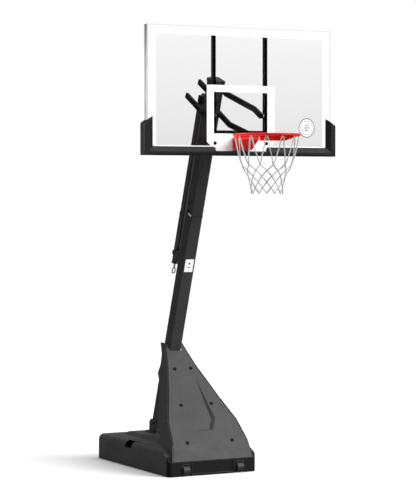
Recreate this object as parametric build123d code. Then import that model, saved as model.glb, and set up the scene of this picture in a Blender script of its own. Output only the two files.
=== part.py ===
from build123d import *
import os
from math import atan, cos, degrees, hypot, radians, sin, sqrt, tan

# Portable basketball hoop. Millimetres, +Z up, the board faces -Y.
# The origin is on the ground at the centre of the base tank's footprint.

# Base tank
BASE_W = 750.0
BASE_D = 1276.0
DECK_Z = 198.0
FRONT_Z = 109.0
TANK_WALL = 6.0
SHOULDER_R = 46.0
HUMP_Z = 224.0
FILL_Y = 385.0
WHEEL_X = 230.0
WHEEL_Y = -622.0
WHEEL_Z = 43.0
WHEEL_R = 39.0
WHEEL_W = 56.0
AXLE_R = 6.0

# Pole: a square tube that leans forward, POLE_FOOT_Y is where its front face meets the ground
POLE_W = 100.0
POLE_WALL = 3.0
POLE_FOOT_Y = 302.65
POLE_LEAN = atan(0.351)
POLE_BOTTOM = 252.0
POLE_JOINT = 2053.0
JOINT_GAP = 2.5
POLE_TOP = 3118.0

# Lift linkage: four arms of equal length form a parallelogram
ARM_SLOPE = radians(28.5)
ARM_DEPTH = 40.0
ARM_THICK = 20.0
ARM_WALL = 2.0
ARM_REAR_X = 68.0
ARM_FRONT_X = 184.0
UPPER_FRONT = (-1037.0, 2688.0)
UPPER_POLE_Y = -640.0
LOWER_POLE = (-600.0, 2722.0)
UPPER_TAIL = 112.0
LOWER_TAIL = 299.0
PIVOT_R = 6.0
PIVOT_GAP = 0.1

# Backboard
BOARD_W = 1524.0
BOARD_H = 914.0
BOARD_TOP = 3327.0
BOARD_Y = -1069.0
GLASS_T = 8.0
RAIL = 30.0
RAIL_DEPTH = 40.0
BAR_X = 215.0
BAR_W = 20.0
BAR_DEPTH = 36.0
PAD_T = 23.0
PAD_DROP = 21.0
GLASS_BOLT_R = 13.0

# Rim
RIM_R = 236.5
ROD_R = 8.0
RIM_Y = -1450.5
RIM_Z = 2538.0
HINGE_Y = -1090.0
HINGE_Z = 2442.0
BRACKET_HALF = 68.0

# Screw jack behind the pole, parallel to it
JACK_OFFSET = 230.0
JACK_PIVOT = 1678.0
JACK_FOOT = 1599.0
JACK_TUBE_TOP = 1995.0
JACK_R = 25.0
RAM_R = 22.5
RAM_BOTTOM = 1845.0
RAM_TOP = 2880.0
SCREW_R = 8.0

# Worked out from the above
BOARD_BOTTOM = BOARD_TOP - BOARD_H
BOARD_BACK = BOARD_Y + GLASS_T
BASE_FRONT = -BASE_D / 2
BASE_REAR = BASE_D / 2
ARM_LENGTH = (UPPER_POLE_Y - UPPER_FRONT[0]) / cos(ARM_SLOPE)
UPPER_POLE = (UPPER_POLE_Y, UPPER_FRONT[1] + ARM_LENGTH * sin(ARM_SLOPE))
LOWER_FRONT = (
    LOWER_POLE[0] + UPPER_FRONT[0] - UPPER_POLE[0],
    LOWER_POLE[1] + UPPER_FRONT[1] - UPPER_POLE[1],
)
POLE = Plane(
    origin=(0, POLE_FOOT_Y, 0),
    x_dir=(1, 0, 0),
    z_dir=(0, -sin(POLE_LEAN), cos(POLE_LEAN)),
)

# Cover: its front panel leans back, with a steeper toe at the bottom
COVER_TOE = (BASE_FRONT, FRONT_Z)
COVER_KNEE = (-594.0, 242.0)
COVER_SLOT = (-25.0, 891.0)
COVER_TOP_Z = 950.0
COVER_T = 5.0
KNEE_R = 220.0
GROOVE = 2.5
SLOT_GAP = 1.5
TOE_GAP = 3.0
FACE_RISE = (COVER_SLOT[0] - COVER_KNEE[0]) / (COVER_SLOT[1] - COVER_KNEE[1])
STRUT_BACK = 30.0
STRUT_W = 30.0
STRUT_LOW = 272.0
STRUT_HIGH = 850.0
PANEL_DIP = radians(3.1)
SCREW_PLACES = [(70.0, 760.0), (130.0, 504.0), (191.0, 246.0)]
SCREW_HEAD_R = 14.5

parts = {}


def save(name, *solids):
    """Keeps one node: a single solid, or a group of separate ones."""
    flat = []
    for shape in solids:
        flat.extend(shape.solids())
    parts[name] = flat[0] if len(flat) == 1 else Compound(children=flat)


def block(x0, x1, y0, y1, z0, z1):
    return Pos((x0 + x1) / 2, (y0 + y1) / 2, (z0 + z1) / 2) * Box(x1 - x0, y1 - y0, z1 - z0)


def rod_x(x0, x1, y, z, r):
    return Pos((x0 + x1) / 2, y, z) * Rot(0, 90, 0) * Cylinder(r, x1 - x0)


def rod_y(y0, y1, x, z, r):
    return Pos(x, (y0 + y1) / 2, z) * Rot(90, 0, 0) * Cylinder(r, y1 - y0)


def rod_z(z0, z1, x, y, r):
    return Pos(x, y, (z0 + z1) / 2) * Cylinder(r, z1 - z0)


def hex_x(x0, x1, y, z, flats):
    """A hexagon nut or head along X, given its width across flats."""
    face = Plane(origin=(x0, y, z), z_dir=(1, 0, 0)) * RegularPolygon(flats / sqrt(3), 6)
    return extrude(face, amount=x1 - x0)


def hex_y(y0, y1, x, z, flats):
    face = Plane(origin=(x, y0, z), z_dir=(0, 1, 0)) * RegularPolygon(flats / sqrt(3), 6)
    return extrude(face, amount=y1 - y0)


def prism_x(points, x0, x1):
    """A (Y, Z) outline stretched from x0 to x1."""
    place = Plane(origin=(x0, 0, 0), x_dir=(0, 1, 0), z_dir=(1, 0, 0))
    return extrude(place * make_face(Polyline(*points, close=True)), amount=x1 - x0)


def prism_y(points, y0, y1):
    """An (X, Z) outline stretched from y0 to y1."""
    place = Plane(origin=(0, y1, 0), x_dir=(1, 0, 0), z_dir=(0, -1, 0))
    return extrude(place * make_face(Polyline(*points, close=True)), amount=y1 - y0)


def both_sides(shape):
    return [shape, mirror(shape, about=Plane.YZ)]


def face_y(z):
    """Y of the cover's front panel at a height above its knee."""
    return COVER_KNEE[0] + (z - COVER_KNEE[1]) * FACE_RISE


# ---------------------------------------------------------------- base tank


def tank_blank():
    """The tank's outside before the wells and pockets are cut."""
    top = DECK_Z
    side = [
        (BASE_FRONT, 0),
        (BASE_FRONT, FRONT_Z),
        (BASE_FRONT + 40, FRONT_Z + 38),
        (BASE_FRONT + 138, top),
        (BASE_REAR, top),
        (BASE_REAR, 0),
    ]
    body = prism_x(side, -BASE_W / 2, BASE_W / 2)
    upright = body.edges().filter_by(Axis.Z)
    rear = upright.filter_by(lambda e: e.center().Y > 0)
    body = fillet(rear, 52)
    upright = body.edges().filter_by(Axis.Z)
    front = upright.filter_by(lambda e: e.center().Y < 0)
    body = fillet(front, 34)
    shoulder = body.edges().filter_by(lambda e: abs(e.center().Z - top) < 0.5 and e.center().Y > -490)
    body = fillet(shoulder, SHOULDER_R)
    foot = body.edges().filter_by(lambda e: e.center().Z < 0.5)
    return fillet(foot, 8)


def hump():
    """The raised deck that carries the pole's foot, with sloping sides."""
    low = Plane.XY.offset(DECK_Z - 30) * Rectangle(500, 940)
    raised = extrude(Pos(0, 30, 0) * low, amount=HUMP_Z - DECK_Z + 30, taper=50)
    return raised & block(-300, 300, -500, 600, DECK_Z - 30, HUMP_Z)


def wheel_well(side):
    x = side * WHEEL_X
    return block(x - 40, x + 40, BASE_FRONT - 5, WHEEL_Y + 66, -5, 92)


def grip_pocket(side):
    x = side * BASE_W / 2
    return block(min(x, x - side * 46), max(x, x - side * 46), 0, 112, 146, DECK_Z + 5)


def tank_outside():
    shape = tank_blank() + hump()
    for side in (-1, 1):
        shape -= wheel_well(side)
        shape -= grip_pocket(side)
    shape -= block(-172, 172, BASE_FRONT - 1, BASE_FRONT + 7, 14, FRONT_Z - 12)
    for side in (-1, 1):
        groove = block(-3, 3, -360, 470, DECK_Z - 5, DECK_Z + 5)
        shape -= Pos(side * 292, 0, 0) * groove
    return shape


def tank_room(gap):
    """The space inside the tank, shrunk by gap on every side."""
    side = [
        (BASE_FRONT + 84 + gap, TANK_WALL + gap),
        (BASE_FRONT + 84 + gap, 128 - gap),
        (BASE_FRONT + 150 + gap, DECK_Z - 12 - gap),
        (BASE_REAR - 62 - gap, DECK_Z - 12 - gap),
        (BASE_REAR - 20 - gap, DECK_Z - 52 - gap),
        (BASE_REAR - 20 - gap, TANK_WALL + gap),
    ]
    half = BASE_W / 2 - 12 - gap
    room = prism_x(side, -half, half)
    upright = room.edges().filter_by(Axis.Z).filter_by(lambda e: e.center().Y > 0)
    room = fillet(upright, 40)
    for side_sign in (-1, 1):
        x = side_sign * BASE_W / 2
        near = x - side_sign * (52 + gap)
        room -= block(min(x, near), max(x, near), -6 - gap, 118 + gap, 138 - gap, DECK_Z)
        edge = x - side_sign * (34 + gap)
        room -= block(min(x, edge), max(x, edge), -700, 700, DECK_Z - 30 - gap, DECK_Z)
    return room


def fill_hole(r, z0, z1):
    return rod_z(z0, z1, 0, FILL_Y, r)


def make_base():
    tank = tank_outside() - tank_room(0) - fill_hole(24, DECK_Z - 40, HUMP_Z + 5)
    save("base_tank", tank)
    water = tank_room(0.5) & block(-400, 400, -700, 700, 0, 168)
    save("ballast_water", water)
    cap = fill_hole(30, HUMP_Z + 0.2, HUMP_Z + 12) + fill_hole(23.7, HUMP_Z - 14, HUMP_Z + 1)
    cap += block(-24, 24, FILL_Y - 4, FILL_Y + 4, HUMP_Z + 11, HUMP_Z + 20)
    cap = cap - rod_z(HUMP_Z - 15, HUMP_Z + 6, 0, FILL_Y, 20)
    save("fill_cap", cap)


def make_wheels():
    axles = []
    brackets = []
    for name, side in (("left", -1), ("right", 1)):
        x = side * WHEEL_X
        half = WHEEL_W / 2
        wheel = rod_x(x - half, x + half, WHEEL_Y, WHEEL_Z, WHEEL_R)
        wheel = fillet(wheel.edges(), 4)
        wheel -= rod_x(x - half, x - half + 8, WHEEL_Y, WHEEL_Z, 28)
        wheel -= rod_x(x + half - 8, x + half, WHEEL_Y, WHEEL_Z, 28)
        wheel += rod_x(x - half, x + half, WHEEL_Y, WHEEL_Z, 12)
        wheel -= rod_x(x - half - 1, x + half + 1, WHEEL_Y, WHEEL_Z, AXLE_R + 0.08)
        save("wheel_" + name, wheel)
        axles.append(rod_x(x - 39.9, x + 39.9, WHEEL_Y, WHEEL_Z, AXLE_R))
        inner = half + 1.5
        cheek = prism_x(
            [
                (WHEEL_Y - 18, WHEEL_Z - 17),
                (WHEEL_Y - 18, 91.8),
                (WHEEL_Y + 64, 91.8),
                (WHEEL_Y + 64, 70),
                (WHEEL_Y + 18, WHEEL_Z - 17),
            ],
            inner,
            inner + 4,
        )
        bracket = block(-inner - 4, inner + 4, WHEEL_Y - 18, WHEEL_Y + 64, 86, 91.8)
        for half_cheek in both_sides(cheek):
            bracket += half_cheek
        bracket -= rod_x(-60, 60, WHEEL_Y, WHEEL_Z, AXLE_R)
        brackets.append(Pos(x, 0, 0) * bracket)
    save("wheel_axles", *axles)
    save("wheel_brackets", *brackets)


# --------------------------------------------------------------------- pole


def square_tube(width, wall, z0, z1, y_centre):
    outer = Pos(0, y_centre, (z0 + z1) / 2) * Box(width, width, z1 - z0)
    inner = Pos(0, y_centre, (z0 + z1) / 2) * Box(width - 2 * wall, width - 2 * wall, z1 - z0 + 2)
    outer = fillet(outer.edges().filter_by(Axis.Z), 7)
    inner = fillet(inner.edges().filter_by(Axis.Z), 4)
    return outer - inner


def pole_bolt_holes(shape):
    for y, z in (LOWER_POLE, UPPER_POLE):
        shape -= rod_x(-80, 80, y, z, PIVOT_R + 0.02)
    return shape


def make_pole():
    mid = POLE_W / 2
    lower = square_tube(POLE_W, POLE_WALL, 150, POLE_JOINT - JOINT_GAP, mid)
    spigot_w = POLE_W - 2 * POLE_WALL - 0.8
    spigot = square_tube(spigot_w, POLE_WALL, POLE_JOINT - 40, POLE_JOINT + 150, mid)
    swage = square_tube(POLE_W - 2 * POLE_WALL, POLE_WALL + 0.5, POLE_JOINT - 40, POLE_JOINT - JOINT_GAP, mid)
    lower = POLE * (lower + spigot + swage)
    lower -= block(-90, 90, -100, 600, 0, POLE_BOTTOM)
    lower -= rod_x(-60, 60, pole_y(foot_bolt_z()), foot_bolt_z(), PIVOT_R + 0.02)
    lower -= rod_x(-60, 60, pole_y(strut_bolt_z()), strut_bolt_z(), PIVOT_R + 0.02)
    upper = POLE * square_tube(POLE_W, POLE_WALL, POLE_JOINT, POLE_TOP, mid)
    bolts = []
    for dz in (28, 96):
        hole = POLE * rod_x(-70, 70, mid, POLE_JOINT + dz, 5.02)
        lower -= hole
        upper -= hole
        shank = rod_x(-52, 56, mid, POLE_JOINT + dz, 5)
        head = hex_x(-57, -50.1, mid, POLE_JOINT + dz, 16)
        nut = hex_x(50.1, 58, mid, POLE_JOINT + dz, 17)
        bolts.append(POLE * (shank + head + nut))
    save("pole_lower", lower)
    save("pole_upper", pole_bolt_holes(upper))
    save("pole_joint_bolts", *bolts)

    skirt = Pos(0, mid, POLE_TOP - 2) * Box(POLE_W + 8, POLE_W + 8, 24)
    skirt = fillet(skirt.edges().filter_by(Axis.Z), 9)
    skirt -= Pos(0, mid, POLE_TOP - 7) * Box(POLE_W + 0.6, POLE_W + 0.6, 14.4)
    peak = extrude(Pos(0, mid, POLE_TOP + 10) * Rectangle(POLE_W + 2, POLE_W + 2), amount=15, taper=62)
    save("pole_cap", POLE * (skirt + peak))


def pole_y(z):
    """Y of the pole's middle at height z."""
    return POLE_FOOT_Y + POLE_W / 2 / cos(POLE_LEAN) - z * tan(POLE_LEAN)


def foot_bolt_z():
    return POLE_BOTTOM + 46


def strut_bolt_z():
    return 838.0


def make_foot_bracket():
    """A steel shoe bolted to the deck, with a bolt through the pole's bottom end."""
    y0 = pole_y(POLE_BOTTOM) - 78
    y1 = pole_y(POLE_BOTTOM) + 78
    plate = block(-88, 88, y0, y1, HUMP_Z, HUMP_Z + 6)
    shoe = plate
    for side in (-1, 1):
        ear_x = side * (POLE_W / 2 + 3.3)
        ear = block(ear_x - 3, ear_x + 3, y0 + 12, y1 - 12, HUMP_Z + 5, HUMP_Z + 105)
        ear = chamfer(ear.edges().filter_by(Axis.X).sort_by(Axis.Z)[-2:], 26)
        shoe += ear
    z = foot_bolt_z()
    shoe -= rod_x(-90, 90, pole_y(z), z, PIVOT_R + 0.02)
    save("pole_foot_bracket", shoe)
    bolts = []
    for x in (-74, 74):
        for y in (y0 + 16, y1 - 16):
            washer = rod_z(HUMP_Z + 6, HUMP_Z + 8, x, y, 11)
            bolts.append(washer + hexagon_z(HUMP_Z + 8, HUMP_Z + 15, x, y, 16))
    save("foot_bracket_bolts", *bolts)


def hexagon_z(z0, z1, x, y, flats):
    return extrude(Pos(x, y, z0) * RegularPolygon(flats / sqrt(3), 6), amount=z1 - z0)


# -------------------------------------------------------------------- cover


def cover_outline(inset):
    """Half widths of the cover at each height, as an (X, Z) outline."""
    right = [
        (345, 60),
        (345, FRONT_Z),
        (322, 247),
        (296, 390),
        (222, 547),
        (178, 656),
        (122, 790),
        (92, 891),
        (78, COVER_TOP_Z),
    ]
    right = [(x - inset, z) for x, z in right]
    left = [(-x, z) for x, z in reversed(right)]
    return right + left


def cover_side(inset):
    """The cover seen from the side: front panel, then the rear edge of its flanges."""
    top_y = face_y(COVER_TOP_Z)
    front = [
        (COVER_TOE[0] + inset, 60),
        (COVER_TOE[0] + inset, COVER_TOE[1]),
        (COVER_KNEE[0] + inset * 1.3, COVER_KNEE[1]),
        (top_y + inset * 1.3, COVER_TOP_Z),
    ]
    if inset:
        return front + [(400, COVER_TOP_Z), (400, 60)]
    rear = [
        (88, COVER_TOP_Z),
        (22, 862),
        (2, 800),
        (-8, 722),
        (-92, 655),
        (-190, 540),
        (-284, 400),
        (-334, 330),
        (-417, 232),
        (-520, 148),
        (-560, 60),
    ]
    return front + rear


def cover_block(inset):
    """The cover's side view as a solid, with its knee rounded."""
    solid = prism_x(cover_side(inset), -400, 400)
    knee = (0, COVER_KNEE[0] + inset * 1.3, COVER_KNEE[1])
    edge = solid.edges().filter_by(Axis.X).sort_by_distance(knee)[0]
    return fillet(edge, KNEE_R - inset)


def cover_panel(grow, sink):
    """The tapered recess in the front panel, deepest at its foot."""
    top = 700
    foot = [(92, 404), (44, 342)]
    outline = [(78 + grow, top)] + [(x + grow, z - grow * 0.3) for x, z in foot]
    slant = atan(FACE_RISE)
    low = [(x, (z - top) / cos(slant)) for x, z in outline]
    points = low + [(-x, z) for x, z in reversed(low)]
    tilt = slant - PANEL_DIP
    place = Plane(
        origin=(0, face_y(top) + sink, top),
        x_dir=(1, 0, 0),
        z_dir=(0, -cos(tilt), sin(tilt)),
    )
    floor = place * make_face(Polyline(*points, close=True))
    return extrude(floor, amount=60, taper=-46)


def make_cover():
    outer = prism_y(cover_outline(0), -700, 200) & cover_block(0)
    inner = prism_y(cover_outline(COVER_T), -700, 500) & cover_block(COVER_T)
    shell = outer - (inner - cover_panel(COVER_T, COVER_T * 1.3))
    shell -= cover_panel(0, 0)
    groove = prism_y(cover_outline(GROOVE), -700, 500) - prism_y(cover_outline(GROOVE * 4), -700, 500)
    shell -= groove & (cover_block(0) - cover_block(GROOVE))
    slot = POLE_W / 2 + SLOT_GAP
    shell -= block(-slot, slot, -200, 300, COVER_SLOT[1], COVER_TOP_Z + 20)
    shell -= inner & block(-400, 400, -700, 500, COVER_TOP_Z - 40, COVER_TOP_Z + 20)
    tank = tank_blank() + hump()
    shell -= tank
    shell -= block(-400, 400, BASE_FRONT - 5, BASE_FRONT + 45, 0, FRONT_Z + TOE_GAP)
    for x, z in SCREW_PLACES:
        for side in (-1, 1):
            shell -= screw_place(side * x, z) * Cylinder(3.6, 60)
    save("cover", shell)


def knee_turn(z):
    """How far round the rounded knee a height is, in radians, and 0 on the flat panel."""
    slant = atan(FACE_RISE)
    toe_slant = atan((COVER_KNEE[0] - COVER_TOE[0]) / (COVER_KNEE[1] - COVER_TOE[1]))
    reach = KNEE_R * tan((slant - toe_slant) / 2)
    travel = (z - COVER_KNEE[1]) / cos(slant)
    return max(0, reach - travel) / KNEE_R


def screw_place(x, z):
    """A place on the front panel, with Z out along its normal there."""
    slant = atan(FACE_RISE)
    turn = knee_turn(z)
    flat = Plane(origin=(x, face_y(z), z), x_dir=(1, 0, 0), z_dir=(0, -cos(slant), sin(slant)))
    return flat * Pos(0, 0, -KNEE_R * turn * turn / 2) * Rot(degrees(turn), 0, 0)


def make_cover_screws():
    screws = []
    for x, z in SCREW_PLACES:
        for side in (-1, 1):
            head = Pos(0, 0, 2.2) * Cylinder(SCREW_HEAD_R, 4)
            head = chamfer(head.edges().sort_by(Axis.Z)[-1:], 1.5)
            head -= Pos(0, 0, 4) * Cylinder(4, 3)
            shank = Pos(0, 0, -9) * Cylinder(3.5, 19)
            screws.append(screw_place(side * x, z) * (head + shank))
    save("cover_screws", *screws)


def strut_x(z):
    x0, z0 = SCREW_PLACES[0]
    x1, z1 = SCREW_PLACES[-1]
    return x0 + (z0 - z) * (x1 - x0) / (z0 - z1)


def strut_point(z):
    """A strut's centre line, STRUT_BACK behind the cover's front panel."""
    slant = atan(FACE_RISE)
    return Vector(strut_x(z), face_y(z) + STRUT_BACK * cos(slant), z - STRUT_BACK * sin(slant))


def strut_bar(size, z_low, z_high):
    a = strut_point(z_low)
    b = strut_point(z_high)
    along = (b - a).normalized()
    place = Plane(origin=a, x_dir=(1, 0, 0), z_dir=along)
    return extrude(place * Rectangle(size, size), amount=(b - a).length)


def make_struts():
    bar = strut_bar(STRUT_W, STRUT_LOW, STRUT_HIGH)
    bar -= strut_bar(STRUT_W - 5, STRUT_LOW - 30, STRUT_HIGH + 20)
    for x, z in SCREW_PLACES:
        bar -= screw_place(x, z) * Cylinder(3.55, 60)
    foot_y = strut_point(STRUT_LOW).Y
    foot_x = strut_x(STRUT_LOW)
    save("struts", *both_sides(bar))
    foot = block(foot_x - 22, foot_x + 22, foot_y - 34, foot_y + 50, 120, 262)
    foot -= strut_bar(STRUT_W + 0.2, STRUT_LOW, STRUT_HIGH)
    foot -= block(foot_x - 17, foot_x + 17, foot_y - 60, foot_y + 60, 206, 270)
    foot &= cover_block(COVER_T + 2)
    foot -= tank_blank() + hump()
    save("strut_feet", *both_sides(foot.solids().sort_by(SortBy.VOLUME)[-1]))


def make_strut_yoke():
    """A saddle on the pole's front that takes both struts' upper ends."""
    z = strut_bolt_z()
    saddle = block(-88, 88, -80, pole_y(z) + 22, z - 30, z + 30)
    saddle -= POLE * Pos(0, POLE_W / 2, 900) * Box(POLE_W + 0.6, POLE_W + 0.6, 900)
    saddle -= block(-82, 82, -200, pole_y(z) - 66, z - 40, z + 40)
    for bar in both_sides(strut_bar(STRUT_W + 0.2, 500, 950)):
        saddle -= bar
    saddle &= block(-56.3, 56.3, -100, 200, z - 40, z + 40)
    saddle -= rod_x(-90, 90, pole_y(z), z, PIVOT_R + 0.02)
    behind = POLE * Pos(0, POLE_W, 900) * Box(200, POLE_W, 900)
    saddle -= behind
    big = saddle.solids().sort_by(SortBy.VOLUME)[-1]
    save("strut_yoke", big)


def make_through_bolts():
    """One bolt through the pole's foot and one through the strut saddle."""
    bolts = []
    for z in (foot_bolt_z(), strut_bolt_z()):
        bolt = rod_x(-60, 62, pole_y(z), z, PIVOT_R)
        bolt += hex_x(-64, -56.4, pole_y(z), z, 19)
        bolt += hex_x(56.4, 66, pole_y(z), z, 19)
        bolts.append(bolt)
    save("pole_through_bolts", *bolts)


# --------------------------------------------------------------------- arms


def arm_place(pivot):
    """X stays across, local Y runs back along the arm, local Z is its depth."""
    return Plane(
        origin=(0, pivot[0], pivot[1]),
        x_dir=(1, 0, 0),
        z_dir=(0, -sin(ARM_SLOPE), cos(ARM_SLOPE)),
    )


def mitre(points, width):
    """One edge of a band that follows points at half its width."""
    out = []
    for i, (x, y) in enumerate(points):
        before = points[max(i - 1, 0)]
        after = points[min(i + 1, len(points) - 1)]
        normals = []
        for a, b in ((before, (x, y)), ((x, y), after)):
            length = hypot(b[0] - a[0], b[1] - a[1])
            if length:
                normals.append(((b[1] - a[1]) / length, (a[0] - b[0]) / length))
        nx = sum(n[0] for n in normals) / len(normals)
        ny = sum(n[1] for n in normals) / len(normals)
        scale = width / 2 / (nx * nx + ny * ny)
        out.append((x + nx * scale, y + ny * scale))
    return out


def band(points, width, depth):
    edge = mitre(points, width) + list(reversed(mitre(points, -width)))
    return extrude(make_face(Polyline(*edge, close=True)), amount=depth / 2, both=True)


def arm(tail, rear_bend, front_bend):
    """A flat tube that runs straight beside the pole, then flares out to the board's bars."""
    nose = -ARM_LENGTH - ARM_DEPTH / 2
    path = [
        (ARM_REAR_X, tail),
        (ARM_REAR_X, -rear_bend),
        (ARM_FRONT_X, -front_bend),
        (ARM_FRONT_X, nose),
    ]
    body = band(path, ARM_THICK, ARM_DEPTH)
    long_path = [(ARM_REAR_X, tail + 5)] + path[1:3] + [(ARM_FRONT_X, nose - 5)]
    body -= band(long_path, ARM_THICK - 2 * ARM_WALL, ARM_DEPTH - 2 * ARM_WALL)
    keep = block(0, 300, -ARM_LENGTH, tail + 1, -50, 50)
    keep += rod_x(0, 300, -ARM_LENGTH, 0, ARM_DEPTH / 2)
    body &= keep
    for y in (0, -ARM_LENGTH):
        body -= rod_x(0, 300, y, 0, PIVOT_R + PIVOT_GAP)
    return body


def bolt_x(x0, x1, y, z, head_side):
    """A pivot bolt along X between two grip faces, with its head, washers and lock nut."""
    bolt = rod_x(x0 - 10, x1 + 10, y, z, PIVOT_R)
    for face, out in ((x0, -1), (x1, 1)):
        washer = rod_x(min(face, face + out * 2), max(face, face + out * 2), y, z, 13)
        tall = 7 if out == head_side else 10
        nut = hex_x(min(face, face + out * (2 + tall)), max(face, face + out * (2 + tall)), y, z, 19)
        bolt += washer + nut
    return bolt


def make_arms():
    pole_bolts = []
    pole_spacers = []
    bar_bolts = []
    bar_spacers = []
    for name, pivot, tail, rear, front in (
        ("upper", UPPER_POLE, UPPER_TAIL, 92, 342),
        ("lower", LOWER_POLE, LOWER_TAIL, 195, 392),
    ):
        shape = arm_place(pivot) * arm(tail, rear, front)
        for side, half in zip(("right", "left"), both_sides(shape)):
            save(name + "_arm_" + side, half)
        outer = ARM_REAR_X + ARM_THICK / 2 + 0.3
        pole_bolts.append(bolt_x(-outer, outer, pivot[0], pivot[1], -1))
        inner = ARM_REAR_X - ARM_THICK / 2 - 0.3
        ring = rod_x(POLE_W / 2 + 0.05, inner, pivot[0], pivot[1], 15)
        ring -= rod_x(0, 100, pivot[0], pivot[1], PIVOT_R + 0.02)
        pole_spacers.extend(both_sides(ring))
    arm_in = ARM_FRONT_X - ARM_THICK / 2 - 0.3
    arm_out = ARM_FRONT_X + ARM_THICK / 2 + 0.3
    bar_in = BAR_X - BAR_W / 2
    bar_out = BAR_X + BAR_W / 2
    for name, pivot, x_wall in (("upper", UPPER_FRONT, bar_in), ("lower", LOWER_FRONT, bar_in - 5)):
        out = bar_out if name == "upper" else bar_in
        ring = rod_x(arm_out, x_wall, pivot[0], pivot[1], 13)
        ring -= rod_x(0, 300, pivot[0], pivot[1], PIVOT_R + 0.02)
        bar_spacers.extend(both_sides(ring))
        bolt = bolt_x(arm_in, out + 0.05, pivot[0], pivot[1], 1)
        bar_bolts.extend(both_sides(bolt))
    save("pole_pivot_bolts", *pole_bolts)
    save("pole_spacers", *pole_spacers)
    save("bar_pivot_bolts", *bar_bolts)
    save("bar_spacers", *bar_spacers)
    jack_y, jack_z, _ = jack_pin_place()
    stud = rod_x(ARM_REAR_X + 10.05, ARM_REAR_X + 13, jack_y, jack_z, 11)
    stud += hex_x(ARM_REAR_X + 12, ARM_REAR_X + 20, jack_y, jack_z, 17)
    save("jack_pin_nuts", *both_sides(stud))


# --------------------------------------------------------------------- jack


def in_pole(y, z):
    """Pole coordinates of a point given in world (Y, Z)."""
    dy = y - POLE_FOOT_Y
    return dy * cos(POLE_LEAN) + z * sin(POLE_LEAN), -dy * sin(POLE_LEAN) + z * cos(POLE_LEAN)


def jack_pin_place():
    """Where the jack's axis crosses the lower arms: world Y and Z, and distance up the pole."""
    y, z = in_pole(*LOWER_POLE)
    across = cos(ARM_SLOPE - POLE_LEAN)
    reach = (JACK_OFFSET - y) / across
    world_y = LOWER_POLE[0] + reach * cos(ARM_SLOPE)
    world_z = LOWER_POLE[1] + reach * sin(ARM_SLOPE)
    return world_y, world_z, z + reach * sin(ARM_SLOPE - POLE_LEAN)


def jack_tube(z0, z1, outer, inner):
    ring = rod_z(z0, z1, 0, JACK_OFFSET, outer)
    if inner:
        ring -= rod_z(z0 - 1, z1 + 1, 0, JACK_OFFSET, inner)
    return ring


def make_jack():
    mid_y = JACK_OFFSET
    tube = jack_tube(JACK_FOOT, JACK_TUBE_TOP, JACK_R, JACK_R - 2)
    pins = rod_x(JACK_R - 1.5, 35, mid_y, JACK_PIVOT, 6)
    for pin in both_sides(pins):
        tube += pin
    tube += jack_tube(JACK_FOOT - 10, JACK_FOOT + 0.1, JACK_R + 2, SCREW_R + 0.3)
    save("jack_outer_tube", POLE * tube)
    collar = jack_tube(JACK_TUBE_TOP, JACK_TUBE_TOP + 14, JACK_R + 1.5, RAM_R + 0.06)
    save("jack_guide_bush", POLE * chamfer(collar.edges().sort_by(Axis.Z)[-1:], 1))
    bearing = jack_tube(JACK_FOOT + 0.1, JACK_FOOT + 14, JACK_R - 2.1, SCREW_R + 0.06)
    save("jack_thrust_bearing", POLE * bearing)
    ram = jack_tube(RAM_BOTTOM, RAM_TOP, RAM_R, RAM_R - 2)
    save("jack_ram_tube", POLE * ram)
    nut = jack_tube(RAM_BOTTOM, RAM_BOTTOM + 34, RAM_R - 2.05, SCREW_R + 0.06)
    save("jack_nut", POLE * nut)
    pin_z = jack_pin_place()[2]
    head = Pos(0, mid_y, RAM_TOP + 34) * Box(44, 44, 68)
    head = chamfer(head.edges().filter_by(Axis.Z), 8)
    head = chamfer(head.edges().sort_by(Axis.Z)[-8:], 5)
    head += jack_tube(RAM_TOP - 20, RAM_TOP + 1, RAM_R - 2.1, 0)
    head -= rod_x(-40, 40, mid_y, pin_z, 6.05)
    save("jack_head", POLE * head)
    pin_end = ARM_REAR_X - ARM_THICK / 2 - 0.5
    save("jack_head_pin", POLE * rod_x(-pin_end, pin_end, mid_y, pin_z, 6))

    screw = jack_tube(JACK_FOOT - 40, RAM_BOTTOM + 320, SCREW_R, 0)
    screw += jack_tube(JACK_FOOT + 14.3, JACK_FOOT + 20, 14, 0)
    save("jack_screw", POLE * screw)
    save("crank_eye", POLE * Pos(0, JACK_OFFSET, JACK_FOOT - 40) * crank_eye())

    cheek = prism_x([(99.9, -44), (99.9, 66), (214, 18), (244, 18), (244, -18), (206, -18)], 27, 31)
    cheek = Pos(0, 0, JACK_PIVOT) * cheek
    plate = Pos(0, 102.6, JACK_PIVOT + 11) * Box(62, 5, 118)
    bracket = plate
    for half in both_sides(cheek):
        bracket += half
    bracket -= rod_x(-40, 40, mid_y, JACK_PIVOT, 6.08)
    bracket -= Pos(0, 50, JACK_PIVOT) * Box(POLE_W + 0.1, POLE_W + 0.1, 400)
    save("jack_bracket", POLE * bracket)


def crank_eye():
    """An oval eye of round bar hanging from a neck, for the crank handle's hook."""
    bar = 4.0
    half = 12.0
    top = -24.0
    low = -42.0
    neck = rod_z(top + half - 2, -0.1, 0, 0, 7)
    eye = neck
    for x in (-half, half):
        eye += rod_z(low, top, x, 0, bar)
    ring = Rot(90, 0, 0) * Torus(half, bar)
    upper = ring & block(-40, 40, -20, 20, 0, 40)
    lower = ring & block(-40, 40, -20, 20, -40, 0)
    eye += Pos(0, 0, top) * upper
    eye += Pos(0, 0, low) * lower
    return eye


# -------------------------------------------------------------------- board


def rim_bolt_places():
    return [(x, z) for x in (-44, 44) for z in (2464, 2505)]


def glass_bolt_places():
    return [(-BAR_X, 2484), (BAR_X, 2484)]


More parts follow.
